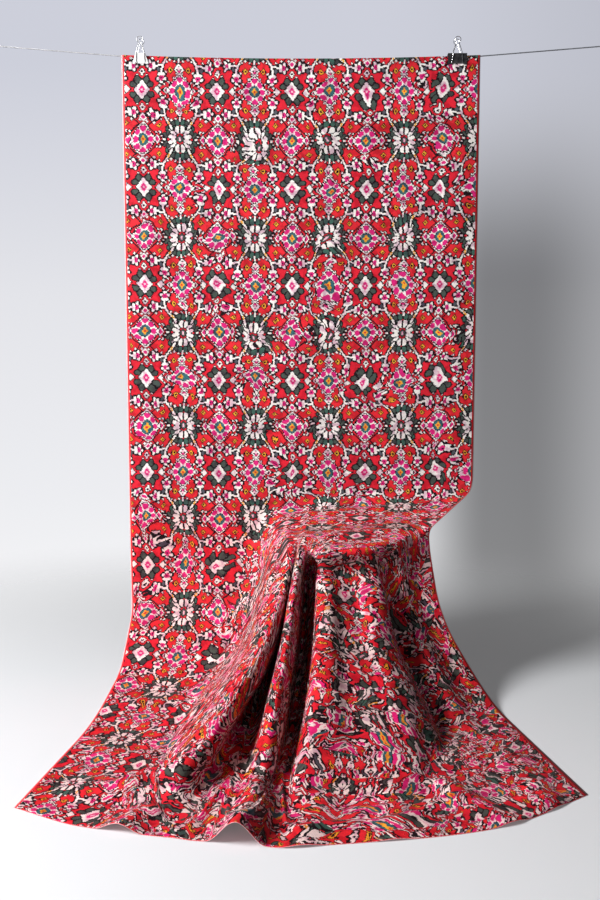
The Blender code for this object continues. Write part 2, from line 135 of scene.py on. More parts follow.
# ---- the folds of the cloth: the part's own tables --------------------------------------------------
# One row for each line that runs from head to hem, left to right. across: place on the flat width. leave:
# height at which the line leaves the hanging plane. brow, tuck, shin and foot: corners of its way down, which
# are rounded; the tuck runs back in under the overhanging brow. hem: its end. y is measured from the hanging
# plane.
Fold = namedtuple(
    "Fold",
    "name across leave brow_x brow_y brow_z tuck_x tuck_y tuck_z "
    "shin_x shin_y shin_z foot_x foot_y hem_x hem_y",
)
FOLDS = tuple(Fold(*row) for row in (
    ("left_edge", 0.000, 0.300, -0.457, -0.035, 0.170, -0.462, -0.100, 0.112,
     -0.467, -0.180, 0.050, -0.492, -0.420, -0.556, -0.862),
    ("left_panel", 0.130, 0.300, -0.337, -0.035, 0.170, -0.341, -0.105, 0.113,
     -0.350, -0.190, 0.050, -0.395, -0.430, -0.435, -0.932),
    ("mid_panel", 0.250, 0.320, -0.215, -0.040, 0.175, -0.220, -0.112, 0.118,
     -0.236, -0.200, 0.055, -0.326, -0.450, -0.350, -0.958),
    ("roll_root", 0.330, 0.360, -0.140, -0.035, 0.235, -0.155, -0.088, 0.172,
     -0.182, -0.140, 0.110, -0.296, -0.460, -0.302, -0.972),
    ("roll_flank", 0.380, 0.425, -0.080, -0.110, 0.350, -0.096, -0.175, 0.262,
     -0.138, -0.290, 0.150, -0.298, -0.640, -0.268, -0.979),
    ("roll_crest", 0.420, 0.435, -0.030, -0.215, 0.382, -0.038, -0.268, 0.300,
     -0.082, -0.455, 0.190, -0.262, -0.850, -0.232, -0.987),
    ("roll_back", 0.445, 0.440, -0.016, -0.235, 0.378, -0.026, -0.236, 0.290,
     -0.064, -0.385, 0.145, -0.212, -0.750, -0.198, -0.996),
    ("valley_one", 0.470, 0.446, -0.010, -0.235, 0.378, -0.022, -0.165, 0.300,
     -0.052, -0.130, 0.120, -0.118, -0.340, -0.168, -1.000),
    ("pleat_one", 0.496, 0.454, -0.008, -0.278, 0.376, -0.020, -0.262, 0.322,
     -0.048, -0.415, 0.185, -0.106, -0.770, -0.134, -1.006),
    ("pleat_side", 0.524, 0.456, 0.005, -0.284, 0.376, 0.001, -0.262, 0.322,
     -0.014, -0.420, 0.185, -0.066, -0.790, -0.104, -1.010),
    ("valley_two", 0.555, 0.460, 0.020, -0.276, 0.380, 0.014, -0.160, 0.322,
     0.004, -0.150, 0.140, -0.020, -0.420, -0.074, -1.016),
    ("ridge_two", 0.600, 0.463, 0.052, -0.290, 0.382, 0.038, -0.238, 0.325,
     0.028, -0.420, 0.175, -0.008, -0.790, -0.026, -1.024),
    ("dip", 0.648, 0.466, 0.108, -0.286, 0.385, 0.098, -0.232, 0.328,
     0.100, -0.400, 0.170, 0.104, -0.725, 0.058, -1.012),
    ("ridge_three", 0.690, 0.468, 0.160, -0.284, 0.389, 0.158, -0.225, 0.336,
     0.182, -0.392, 0.168, 0.240, -0.730, 0.162, -0.997),
    ("crease", 0.735, 0.470, 0.203, -0.268, 0.395, 0.200, -0.205, 0.338,
     0.226, -0.255, 0.162, 0.300, -0.530, 0.252, -0.981),
    ("right_panel", 0.830, 0.475, 0.266, -0.232, 0.408, 0.270, -0.188, 0.346,
     0.296, -0.180, 0.180, 0.372, -0.380, 0.405, -0.928),
    ("right_edge", 0.930, 0.497, 0.322, -0.200, 0.424, 0.328, -0.182, 0.370,
     0.360, -0.168, 0.190, 0.474, -0.280, 0.571, -0.805),
))
ROUND = namedtuple("Round", "leave brow tuck shin foot")(0.040, 0.034, 0.034, 0.090, 0.115)
BEND = 0.32  # share of the stations beside a corner that its rounding takes
MOST_OF_LEG = 0.48  # a rounding takes no more of the leg between two corners

# Low ridges of the cloth on the floor, each along a bent line from its start, drawn towards via, to its end.
# behind and front: its width to each side.
Ridge = namedtuple("Ridge", "name start_x start_y via_x via_y end_x end_y height end_height behind front")
RIDGES = tuple(Ridge(*row) for row in (
    ("roll_tail", -0.215, -0.720, -0.265, -0.800, -0.420, -0.770, 0.022, 0.010, 0.070, 0.080),
    ("pleat_tail", -0.084, -0.760, -0.088, -0.900, -0.121, -1.030, 0.024, 0.056, 0.060, 0.055),
    ("left_arch", -0.250, -0.850, -0.320, -0.900, -0.347, -1.000, 0.010, 0.024, 0.055, 0.050),
    ("front_ripple", 0.060, -0.800, 0.020, -0.900, 0.000, -1.030, 0.012, 0.006, 0.050, 0.050),
    ("mid_ripple", 0.180, -0.740, 0.190, -0.860, 0.170, -1.000, 0.014, 0.004, 0.050, 0.050),
    ("right_ripple", 0.265, -0.700, 0.310, -0.820, 0.400, -0.930, 0.016, 0.008, 0.055, 0.045),
    ("edge_ripple", 0.430, -0.520, 0.470, -0.640, 0.480, -0.840, 0.006, 0.012, 0.055, 0.050),
))
RIDGE_LEAN = 0.5  # move towards the hem, as a share of the rise
RIDGE_FADE = 0.12  # height above the floor at which a ridge no longer lifts the cloth
RIDGE_RISE = 0.30  # share of its length over which a ridge rises from nothing
RIDGE_POINTS = 49

# Small folds on the cloth, as soft bumps (+) and troughs (-) along a bent line, placed on the flat cloth in
# metres: across from its left edge, and down from the wire. depth is how far the cloth stands out.
Crease = namedtuple("Crease", "name x0 y0 via_x via_y x1 y1 depth width")
CREASES = tuple(Crease(*row) for row in (
    ("left_hang", 0.045, 0.03, 0.060, 0.60, 0.050, 1.25, 0.0022, 0.070),
    ("left_mid_hang", 0.210, 0.05, 0.240, 0.60, 0.220, 1.20, -0.0020, 0.090),
    ("mid_hang", 0.480, 0.05, 0.460, 0.60, 0.470, 1.10, 0.0022, 0.100),
    ("right_mid_hang", 0.700, 0.05, 0.690, 0.60, 0.700, 1.10, -0.0020, 0.080),
    ("right_hang", 0.880, 0.04, 0.865, 0.60, 0.880, 1.10, 0.0024, 0.070),
    ("shelf_back", 0.400, 1.215, 0.600, 1.235, 0.880, 1.170, 0.007, 0.032),
    ("shelf_mid", 0.420, 1.285, 0.560, 1.315, 0.760, 1.270, -0.006, 0.030),
    ("shelf_front", 0.430, 1.350, 0.580, 1.385, 0.840, 1.330, 0.007, 0.034),
    ("pleat_side", 0.528, 1.500, 0.524, 1.700, 0.520, 1.960, -0.007, 0.024),
    ("ridge_split", 0.585, 1.480, 0.588, 1.720, 0.580, 2.050, -0.013, 0.024),
    ("ridge_fold", 0.625, 1.500, 0.628, 1.720, 0.640, 2.150, 0.015, 0.028),
    ("dip_fold", 0.668, 1.520, 0.672, 1.720, 0.690, 2.080, -0.018, 0.026),
    ("third_split", 0.712, 1.500, 0.716, 1.720, 0.736, 2.100, 0.018, 0.030),
    ("crease_line", 0.754, 1.460, 0.764, 1.720, 0.788, 2.120, -0.022, 0.036),
    ("right_drag", 0.790, 1.420, 0.812, 1.640, 0.850, 2.020, 0.011, 0.036),
    ("right_drag_low", 0.845, 1.380, 0.868, 1.580, 0.900, 1.900, -0.010, 0.036),
    ("roll_drag", 0.360, 1.300, 0.356, 1.560, 0.330, 1.900, -0.006, 0.036),
    ("left_drag", 0.300, 1.420, 0.280, 1.700, 0.250, 1.980, 0.005, 0.060),
    ("left_toe", 0.060, 2.080, 0.180, 2.120, 0.320, 2.060, 0.006, 0.050),
    ("tail_curl", 0.425, 2.050, 0.380, 2.230, 0.180, 2.270, 0.018, 0.034),
    ("front_toe", 0.420, 2.300, 0.560, 2.340, 0.760, 2.300, 0.007, 0.045),
    ("right_toe", 0.640, 2.220, 0.780, 2.180, 0.900, 2.040, -0.006, 0.050),
))
CREASE_POINTS = 33
CREASE_FADE = 0.18  # share of its length over which a crease fades at each end
CREASE_LEFT = 0.25  # share of its depth that is left there
CREASES_FROM, CREASES_EASE = 0.03, 0.12  # below the wire, where they begin, and how far they grow

# the cloth's grid
FLAP_ROWS = 6
TURN_ROWS = 8
HANG_ROWS = 90
FOLD_ROWS = 200
HANG_TO = 0.7  # station down to which the hanging rows run
ACROSS_STEPS = ((0.000, 0.300, 26), (0.300, 0.750, 72), (0.750, 0.930, 20))  # from, to and number of steps
PLAIN_TO = 0.95  # below the wire: down to here the cloth hangs flat, so its flat map is exact
RELAX_STEP = 3  # every third row and column of the grid is eased
RELAX_ROUNDS = 900
RELAX_CARRY = 0.9  # share of a round's move that is carried into the next one


def down_line(fold, stations):
    """Points of one fold line at stations from 0, under the wire, to 6, the hem; each corner is rounded."""
    x_top = fold.across - CLOTH_WIDTH / 2
    corner = np.array((
        (x_top, 0.0, wire_height(x_top)),
        (x_top, 0.0, fold.leave),
        (fold.brow_x, fold.brow_y, fold.brow_z),
        (fold.tuck_x, fold.tuck_y, fold.tuck_z),
        (fold.shin_x, fold.shin_y, fold.shin_z),
        (fold.foot_x, fold.foot_y, CLOTH_THICK / 2),
        (fold.hem_x, fold.hem_y, CLOTH_THICK / 2),
    ))
    legs = np.diff(corner, axis=0)
    length = np.linalg.norm(legs, axis=1)
    way = legs / length[:, None]
    last = len(corner) - 1
    most = MOST_OF_LEG * length
    reach = [0.0, *(min(r, a, b) for r, a, b in zip(ROUND, most, most[1:])), 0.0]
    points = np.empty((len(stations), 3))
    for k in range(last):
        start = k + BEND if k else 0.0
        end = k + 1 - BEND if k + 1 < last else float(last)
        here = (stations >= start) & (stations <= end)
        share = ((stations[here] - start) / (end - start))[:, None]
        first = corner[k] + way[k] * reach[k]
        second = corner[k + 1] - way[k] * reach[k + 1]
        points[here] = first + (second - first) * share
    for k in range(1, last):
        here = np.abs(stations - k) < BEND
        share = ((stations[here] - k + BEND) / (2 * BEND))[:, None]
        first = corner[k] - way[k - 1] * reach[k]
        second = corner[k] + way[k] * reach[k]
        points[here] = first * (1 - share) ** 2 + corner[k] * 2 * share * (1 - share) + second * share**2
    return points


def between_lines(knots, lines, places):
    """A smooth cubic across the fold lines, at places on the flat width."""
    step = np.diff(knots)[:, None, None]
    slope = np.diff(lines, axis=0) / step
    tangent = np.concatenate((
        slope[:1],
        (slope[:-1] * step[1:] + slope[1:] * step[:-1]) / (step[1:] + step[:-1]),
        slope[-1:],
    ))
    k = np.clip(np.searchsorted(knots, places, side="right") - 1, 0, len(knots) - 2)
    h = step[k]
    f = ((places - knots[k]) / np.diff(knots)[k])[:, None, None]
    return (
        (2 * f**3 - 3 * f**2 + 1) * lines[k]
        + (f**3 - 2 * f**2 + f) * h * tangent[k]
        + (3 * f**2 - 2 * f**3) * lines[k + 1]
        + (f**3 - f**2) * h * tangent[k + 1]
    )


def bent_line(x0, y0, via_x, via_y, x1, y1, share):
    """Points of a line from its start, drawn towards via, to its end."""
    start, via, end = (1 - share) ** 2, 2 * share * (1 - share), share**2
    return start * x0 + via * via_x + end * x1, start * y0 + via * via_y + end * y1


def nearest(line, across, down):
    """For each place: how far the line is, which of its points is nearest, and the offset from there."""
    off_x = across[..., None] - line[0]
    off_y = down[..., None] - line[1]
    apart = np.hypot(off_x, off_y)
    near = apart.argmin(axis=-1)
    pick = near[..., None]
    return (
        apart.min(axis=-1), near,
        np.take_along_axis(off_x, pick, -1)[..., 0], np.take_along_axis(off_y, pick, -1)[..., 0],
    )


def raise_ridges(points):
    """Lifts the points under each fold that lies on the floor, and leans them towards the hem."""
    low = np.clip(1.0 - points[..., 2] / RIDGE_FADE, 0.0, 1.0)
    added = np.zeros(points.shape[:-1])
    share = np.linspace(0.0, 1.0, RIDGE_POINTS)
    for r in RIDGES:
        line = bent_line(r.start_x, r.start_y, r.via_x, r.via_y, r.end_x, r.end_y, share)
        apart, near, off_x, off_y = nearest(line, points[..., 0], points[..., 1])
        to_x, to_y = np.gradient(line[0])[near], np.gradient(line[1])[near]
        width = np.where(to_x * off_y > to_y * off_x, r.front, r.behind)
        height = r.height + (r.end_height - r.height) * share[near]
        height *= np.sin(np.minimum(share[near] / RIDGE_RISE, 1.0) * pi / 2) ** 2
        added = np.maximum(added, height * np.cos(np.minimum(apart / width, 1.0) * pi / 2) ** 2)
    points[..., 2] += added * low
    points[..., 1] -= added * low * RIDGE_LEAN


def head_rows(places):
    """The flap behind the wire and the turn over it, from the flap's end to the front layer."""
    turn = WIRE_RADIUS + GAP + CLOTH_THICK / 2
    middle = wire_height(places)
    closed = CLOTH_THICK + 2 * GAP
    rows = []
    for share in np.linspace(1.0, 0.0, FLAP_ROWS):
        drop = share * FLAP_DROP
        ease = min(drop / FLAP_CLOSE, 1.0)
        ease = ease * ease * (3 - 2 * ease)
        back = 2 * turn + (closed - 2 * turn) * ease
        rows.append(np.stack((places, np.full_like(places, back), middle - drop), axis=-1))
    for k in range(1, TURN_ROWS):
        angle = pi * k / TURN_ROWS
        rows.append(np.stack((
            places,
            np.full_like(places, turn + turn * cos(angle)),
            middle + turn * sin(angle),
        ), axis=-1))
    return np.stack(rows, axis=1)


def arc_down(grid, head):
    """Length along each line of the grid from the turn's top, less than nothing on the flap."""
    steps = np.linalg.norm(np.diff(grid, axis=1), axis=-1)
    length = np.concatenate((np.zeros((len(grid), 1)), steps.cumsum(axis=1)), axis=1)
    return length - length[:, head:head + 1]


def relaxed(grid, across, down, fixed):
    """Flat places for the points of a grid, eased until the cloth's lengths there match the folded ones."""
    flat = np.stack((np.broadcast_to(across[:, None], down.shape), down), axis=-1).copy()
    springs = []
    for di, dj, weight in ((1, 0, 1.0), (0, 1, 1.0), (1, 1, 0.5), (1, -1, 0.5)):
        rows = slice(0, len(grid) - di)
        next_rows = slice(di, len(grid))
        columns = slice(max(0, -dj), grid.shape[1] - max(0, dj))
        next_columns = slice(max(0, dj), grid.shape[1] + min(0, dj))
        rest = np.linalg.norm(grid[next_rows, next_columns] - grid[rows, columns], axis=-1)
        springs.append(((rows, columns), (next_rows, next_columns), rest, weight))
    total = np.zeros(down.shape)
    for a, b, rest, weight in springs:
        total[a] += weight
        total[b] += weight
    free = (~fixed / total)[..., None]
    momentum = np.zeros_like(flat)
    for _ in range(RELAX_ROUNDS):
        pull = np.zeros_like(flat)
        for a, b, rest, weight in springs:
            gap = flat[b] - flat[a]
            length = np.linalg.norm(gap, axis=-1)
            move = gap * (weight * (length - rest) / np.maximum(length, 1e-9))[..., None]
            pull[a] += move
            pull[b] -= move
        momentum = RELAX_CARRY * momentum + pull * free
        flat += momentum
    return flat


def spread(values, at, wanted_rows, wanted_columns):
    """Values on a coarse grid, read in between at finer rows and columns."""
    rows, columns = at
    along = np.stack([
        np.stack([np.interp(wanted_columns, columns, line) for line in values[..., k]])
        for k in range(values.shape[-1])
    ], axis=-1)
    return np.stack([
        np.stack([np.interp(wanted_rows, rows, along[:, j, k]) for j in range(along.shape[1])], axis=1)
        for k in range(values.shape[-1])
    ], axis=-1)


def normals(grid):
    """Which way the front of the cloth faces at each point."""
    side = np.cross(np.gradient(grid, axis=1), np.gradient(grid, axis=0))
    return side / np.maximum(np.linalg.norm(side, axis=-1, keepdims=True), 1e-12)


def add_creases(grid, across, down):
    """Moves the cloth out and in along the small folds, and leaves it in place at the wire."""
    added = np.zeros(down.shape)
    share = np.linspace(0.0, 1.0, CREASE_POINTS)
    wide = np.broadcast_to(across[:, None], down.shape)
    for c in CREASES:
        line = bent_line(c.x0, c.y0, c.via_x, c.via_y, c.x1, c.y1, share)
        apart, near, _, _ = nearest(line, wide, down)
        rise = np.sin(np.clip(share[near] / CREASE_FADE, 0, 1) * pi / 2)
        fall = np.sin(np.clip((1 - share[near]) / CREASE_FADE, 0, 1) * pi / 2)
        height = CREASE_LEFT + (1 - CREASE_LEFT) * rise * fall
        added += c.depth * np.exp(-((apart / (0.5 * c.width)) ** 2)) * height
    ease = np.clip((down - CREASES_FROM) / CREASES_EASE, 0, 1)
    grid += normals(grid) * (added * ease)[..., None]


def cloth_grid():
    """Points of the cloth's middle surface, each one's flat place, and how far it is from left edge and hem."""
    knots = np.array([fold.across for fold in FOLDS])
    across = np.unique(np.concatenate([np.linspace(a, b, n + 1) for a, b, n in ACROSS_STEPS]))
    stations = np.concatenate((
        np.linspace(0.0, HANG_TO, HANG_ROWS + 1)[:-1],
        np.linspace(HANG_TO, 6.0, FOLD_ROWS),
    ))
    lines = np.stack([down_line(fold, stations) for fold in FOLDS])
    sheet = between_lines(knots, lines, across)
    sheet[..., 2] = np.maximum(sheet[..., 2], CLOTH_THICK / 2)
    raise_ridges(sheet)
    head = head_rows(across - CLOTH_WIDTH / 2)
    grid = np.concatenate((head, sheet), axis=1)
    top = FLAP_ROWS + TURN_ROWS // 2 - 1
    down = arc_down(grid, top)
    rows = np.unique(np.append(np.arange(0, len(across), RELAX_STEP), len(across) - 1))
    columns = np.unique(np.append(np.arange(0, down.shape[1], RELAX_STEP), down.shape[1] - 1))
    pick = np.ix_(rows, columns)
    fixed = down[pick] < PLAIN_TO
    flat = relaxed(grid[pick], across[rows], down[pick], fixed)
    plain = np.stack((np.broadcast_to(across[rows][:, None], fixed.shape), down[pick]), axis=-1)
    shift = spread(flat - plain, (rows, columns), np.arange(len(across)), np.arange(down.shape[1]))
    flat = np.stack((np.broadcast_to(across[:, None], down.shape), down), axis=-1) + shift
    edge = np.stack((np.broadcast_to(across[:, None], down.shape), down[:, -1:] - down), axis=-1)
    add_creases(grid, across, down)
    grid[..., 2] = np.maximum(grid[..., 2], SILK_THICK / 2 + FLOOR_GAP)
    return grid, flat, edge


def build_cloth(surfaces):
    """The cloth as one sheet with its two UV maps; surfaces are those of its front, its back and its rim."""
    grid, flat, edge = cloth_grid()
    across, along = grid.shape[:2]
    mesh = bpy.data.meshes.new("silk_brocade")
    index = np.arange(across * along).reshape(across, along)
    quads = np.stack((index[:-1, :-1], index[:-1, 1:], index[1:, 1:], index[1:, :-1]), axis=-1).reshape(-1, 4)
    points = (grid + np.array(hanging)).reshape(-1, 3)
    mesh.from_pydata(points.tolist(), [], quads.tolist())
    for name, values in (("Flat", flat), ("Edge", edge)):
        layer = mesh.uv_layers.new(name=name)
        corners = values.reshape(-1, 2)[quads.reshape(-1)]
        layer.data.foreach_set("uv", corners.astype(np.float32).reshape(-1))
    mesh.shade_smooth()
    piece = bpy.data.objects.new("silk_brocade", mesh)
    for surface in surfaces:
        mesh.materials.append(surface)
    bpy.context.scene.collection.objects.link(piece)
    solid = piece.modifiers.new("Thickness", "SOLIDIFY")
    solid.thickness = SILK_THICK
    solid.offset = 0.0
    solid.material_offset = 1
    solid.material_offset_rim = 2
    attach(piece, "root")
    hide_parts("cloth")


# ---- the woven pattern -----------------------------------------------------------------------------
# One quarter of the repeat, as marks on a chart of COLUMNS by ROWS stitches, mirrored both ways. A medallion
# sits at the first corner and at the last one, a rosette at (40, 0), a lozenge at (0, 52).
COLUMNS, ROWS = 40, 52
REPEAT_WIDTH, REPEAT_LENGTH = 0.195, 0.250
MEDALLION_ACROSS, MEDALLION_DOWN = 0.4416, 0.211  # one medallion's place on the flat cloth

# How the pattern is laid on the flat cloth. Each pair is a stretch in metres, across from the left edge or down
# from the wire, over which an effect grows or fades.
FOLDED_DOWN = (1.16, 1.46)
SLIP = (6.0, 34.0)  # least and most wander of the pattern, in stitches
FOLDED_SLIP = 0.3  # how much more it wanders in the folds, as a share
JUMBLE = 14.0  # stitches
JUMBLE_LEFT = 0.15  # share of the jumble at the left
JUMBLE_ACROSS = (0.22, 0.38)
PATCHES = 22.0  # to a metre
PATCHES_DOWN, PATCHES_ACROSS = (1.38, 1.52), (0.24, 0.34)
PATCH_SLIDE = (3.4 * COLUMNS, 2.0 * ROWS)  # across and down, in stitches
PATCH_LEAN = 1.3
RAGGED = 1.6  # stitches
SHELF_STREAKS = (1.17, 1.46)
ROLL_STREAKS = (0.325, 0.435)
PANEL_STREAKS = (0.74, 0.84)
STREAKS_WIDEN, STREAKS_END = 1.75, 2.45
WIDENING, ROLL_WIDENING = 0.45, 0.6
PANEL_RETURN = 0.8  # share of the streaks' shift that the right panel takes back
FAN_FROM, FAN_DOWN, FAN = 0.555, (1.75, 2.25), 0.8
DEEPER_DOWN = (1.16, 1.24)

SELVEDGE, CORD, HEM_BAND = 0.0060, 0.0022, 0.0018
RIB, WARP = 0.0024, 0.0018  # spacing of the weft ribs and of the warp

SILKS = {
    "red": (0.71, 0.018, 0.037), "scarlet": (0.75, 0.024, 0.036), "black": (0.012, 0.006, 0.009),
    "white": (0.89, 0.85, 0.81), "pale": (0.86, 0.55, 0.64), "magenta": (0.72, 0.020, 0.20),
    "moss": (0.066, 0.090, 0.076), "green": (0.050, 0.130, 0.100), "teal": (0.035, 0.14, 0.16),
    "yellow": (0.86, 0.42, 0.035), "slate": (0.09, 0.10, 0.12),
}
UNTINTED, WORN_TINT, FOLD_TINT = (1.0, 1.0, 1.0), (0.74, 0.55, 0.66), (1.03, 0.81, 0.81)
SELVEDGE_REDS = (0.62, 0.012, 0.022), (0.80, 0.035, 0.04)
CORD_PINK = (0.80, 0.42, 0.42)
BACK_GROUNDS = (0.72, 0.36, 0.38), (0.82, 0.56, 0.57)
BACK_FLOATS = (
    (0.0, "moss"), (0.38, "magenta"), (0.43, "red"), (0.50, "pale"), (0.54, "scarlet"), (0.60, "white"),
    (0.66, "black"),
)
RIM_PINKS = (0.74, 0.16, 0.18), (0.88, 0.58, 0.60)

# one filled shape: its middle, half width and half height, and how far it is turned, in degrees
Mark = namedtuple("Mark", "shape x y half_x half_y turn silk")
# one straight bar: its ends and half of its width
Bar = namedtuple("Bar", "x0 y0 x1 y1 half silk")


def four_ways(x, y, marks):
    """The marks round (x, y), mirrored into all four quarters."""
    return [
        m._replace(x=x + side * m.x, y=y + up * m.y, turn=m.turn * side * up)
        for m in marks for side in (-1, 1) for up in (-1, 1)
    ]


def outlined(m, edge=1.25):
    """A mark over a black one that is larger by edge all round."""
    return [m._replace(half_x=m.half_x + edge, half_y=m.half_y + edge, silk="black"), m]


def medallion(x, y):
    """A dashed white ring round magenta blocks and a teal and yellow eye."""
    blocks = (
        Mark("oval", 8.4, 0.0, 2.6, 3.2, 0, "magenta"),
        Mark("oval", 0.0, 11.2, 2.8, 3.1, 0, "magenta"),
        Mark("oval", 5.6, 7.0, 3.5, 2.7, -46, "magenta"),
    )
    return [
        Mark("swell", x, y, 15.4, 19.6, 1.08, "black"),
        Mark("dashes", x, y, 14.6, 18.6, 1.08, "white"),
        Mark("swell", x, y, 12.0, 15.6, 1.12, "white"),
        *four_ways(x, y, blocks),
        Mark("oval", x, y, 6.5, 7.4, 0, "white"),
        Mark("oval", x, y, 5.7, 6.6, 0, "black"),
        Mark("oval", x, y, 5.2, 6.1, 0, "teal"),
        Mark("diamond", x, y, 3.8, 4.1, 0, "yellow"),
        Mark("oval", x, y, 0.9, 0.9, 0, "scarlet"),
    ]


def lozenge(x, y):
    """A white diamond with a magenta eye, between dark green leaves."""
    made = []
    for leaf in (
        Mark("oval", 9.2, 5.6, 3.1, 2.7, 0, "moss"),
        Mark("oval", 4.9, 10.6, 2.7, 3.3, 0, "moss"),
    ):
        for one in four_ways(x, y, (leaf,)):
            made += outlined(one)
    return made + [
        Mark("diamond", x, y, 9.2, 12.4, 0, "black"),
        Mark("diamond", x, y, 7.9, 10.9, 0, "white"),
        Mark("diamond", x, y, 4.6, 6.2, 0, "pale"),
        Mark("diamond", x, y, 3.4, 4.6, 0, "magenta"),
        Mark("oval", x, y, 1.0, 1.2, 0, "pale"),
    ]


def rosette(x, y):
    """Thick white petals in a cross and a slanting cross, over a ring of dark green leaves."""
    made = []
    for leaf in (
        Mark("oval", 12.2, 11.6, 3.0, 2.9, 0, "green"),
        Mark("oval", 15.4, 4.2, 3.4, 3.1, 0, "moss"),
        Mark("oval", 7.4, 16.2, 2.9, 3.3, 0, "moss"),
        Mark("oval", 2.7, 18.0, 2.4, 3.2, 0, "green"),
        Mark("oval", 11.0, 7.0, 3.0, 3.0, 0, "moss"),
        Mark("oval", 5.4, 11.4, 2.8, 3.0, 0, "green"),
    ):
        for one in four_ways(x, y, (leaf,)):
            made += outlined(one, 1.2)
    for petal in (
        Mark("oval", 7.8, 2.8, 4.3, 2.4, 10, "white"),
        Mark("oval", 8.0, 9.6, 6.4, 2.5, 52, "white"),
        Mark("oval", 2.6, 10.2, 2.3, 4.4, -8, "white"),
    ):
        for one in four_ways(x, y, (petal,)):
            made += outlined(one, 0.95)
    made += outlined(Mark("oval", x, y, 2.8, 3.6, 0, "moss"), 1.0)
    return made + [Mark("diamond", x, y, 1.6, 2.2, 0, "pale")]


def blossom(x, y, lead):
    """Five white petals round a pink eye; lead is the way that the first one points, in degrees."""
    turns = [radians(lead + 72 * k) for k in range(5)]
    petals = [Mark("oval", x + 3.9 * cos(a), y + 4.2 * sin(a), 1.7, 1.8, 0, "white") for a in turns]
    return [m for petal in petals for m in outlined(petal, 1.5)[:1]] + petals + [
        Mark("diamond", x, y, 3.4, 3.6, 0, "magenta"),
        Mark("oval", x, y, 0.8, 0.8, 0, "black"),
    ]


def small_diamond(x, y, half_x, half_y, eye, silk):
    """A white diamond; eye is the size of the diamond inside it, as a share."""
    return outlined(Mark("diamond", x, y, half_x, half_y, 0, "white"), 1.1) + [
        Mark("diamond", x, y, half_x * eye, half_y * eye, 0, silk)
    ]


def all_marks():
    """Every mark of the quarter, each laid over those before it."""
    made = []
    for patch in (
        Mark("diamond", 17.6, 15.6, 11.6, 12.6, 0, "scarlet"),
        Mark("diamond", 30.6, 31.0, 10.6, 13.6, 0, "scarlet"),
    ):
        made += outlined(patch, 1.7)
        made += outlined(Mark("diamond", patch.x, patch.y, 2.4, 2.8, 0, "yellow"), 1.2)
        made.append(Mark("oval", patch.x, patch.y, 1.1, 1.1, 0, "black"))
    arms = ((31.6, 11.0, 21.8, 26.2), (21.8, 26.2, 12.0, 26.8), (21.6, 26.2, 21.3, 36.0))
    made += rosette(40, 0)
    made += [Bar(*ends, 2.5, "black") for ends in arms]
    made += outlined(Mark("diamond", 17.6, 30.6, 2.6, 2.6, 0, "slate"))
    made += blossom(9.4, 27.0, 180) + blossom(21.1, 39.4, 90)
    made += [Bar(*ends, 1.0, "white") for ends in arms]
    made.append(Bar(28.6, 15.6, 26.8, 18.4, 0.7, "yellow"))
    made += small_diamond(0, 22.8, 4.0, 4.5, 0.55, "magenta")
    made += small_diamond(0, 33.4, 3.2, 3.7, 0.45, "black")
    made += [Bar(40, 20, 40, 27, 1.9, "black"), Bar(40, 20, 40, 27, 0.9, "white")]
    made += small_diamond(40, 30.4, 5.2, 6.0, 0.6, "black")
    made.append(Mark("diamond", 40, 29.2, 1.8, 1.9, 0, "pale"))
    made.append(Mark("diamond", 40, 32.4, 1.9, 1.9, 0, "magenta"))
    made += [Mark("star", 16.4, 52, 5.4, 5.4, 0, "black"), Mark("star", 16.4, 52, 4.1, 4.1, 0, "white")]
    made += small_diamond(25.4, 52, 3.4, 3.2, 0.55, "magenta")
    made += [Bar(18.4, 8.2, 24.0, 0, 2.1, "black"), Bar(18.4, 8.2, 24.0, 0, 0.98, "white")]
    made += small_diamond(15.6, 0, 4.2, 4.7, 0.6, "magenta")
    made += [Bar(20.0, 6.2, 20.8, 5.0, 0.9, "black"), Bar(22.2, 2.8, 22.9, 1.7, 0.8, "black")]
    for stitch_x, stitch_y in (
        (3.4, 19.6), (5.6, 27.4), (11.4, 19.4), (25.6, 33.2), (28.4, 43.8), (33.4, 39.0),
        (35.2, 22.4), (10.8, 45.6), (5.4, 36.8), (17.2, 22.4), (26.8, 22.2), (14.6, 7.8),
        (30.6, 20.6), (37.0, 34.6), (24.2, 45.8), (19.4, 47.6),
    ):
        made += outlined(Mark("diamond", stitch_x, stitch_y, 1.3, 1.4, 0, "white"), 0.9)
    return made + medallion(0, 0) + lozenge(0, 52) + medallion(40, 52)


def covered(m, x, y):
    """Which stitches a mark or bar covers."""
    if isinstance(m, Bar):
        run_x, run_y = m.x1 - m.x0, m.y1 - m.y0
        share = np.clip(((x - m.x0) * run_x + (y - m.y0) * run_y) / (run_x**2 + run_y**2), 0, 1)
        return np.hypot(x - m.x0 - share * run_x, y - m.y0 - share * run_y) <= m.half
    turn = 0.0 if m.shape in ("swell", "dashes") else radians(m.turn)
    u = np.abs((x - m.x) * cos(turn) + (y - m.y) * sin(turn)) / m.half_x
    v = np.abs((y - m.y) * cos(turn) - (x - m.x) * sin(turn)) / m.half_y
    if m.shape == "oval":
        return u**2 + v**2 <= 1
    if m.shape == "diamond":
        return u + v <= 1
    if m.shape == "star":
        return (np.sqrt(u) + np.sqrt(v) <= 1.32) & (u + v <= 1)
    swell = u**m.turn + v**m.turn <= 1  # between a diamond and an oval: here turn holds the power
    return swell & ((np.floor(x / 2) + np.floor(y / 2)) % 2 == 0) if m.shape == "dashes" else swell


def drawn_chart():
    """The chart, one list of silk names for each row of stitches."""
    x, y = np.meshgrid(np.arange(COLUMNS) + 0.5, np.arange(ROWS) + 0.5)
    chart = np.full((ROWS, COLUMNS), "red", dtype=object)
    for m in all_marks():
        chart[covered(m, x, y)] = m.silk
    return chart


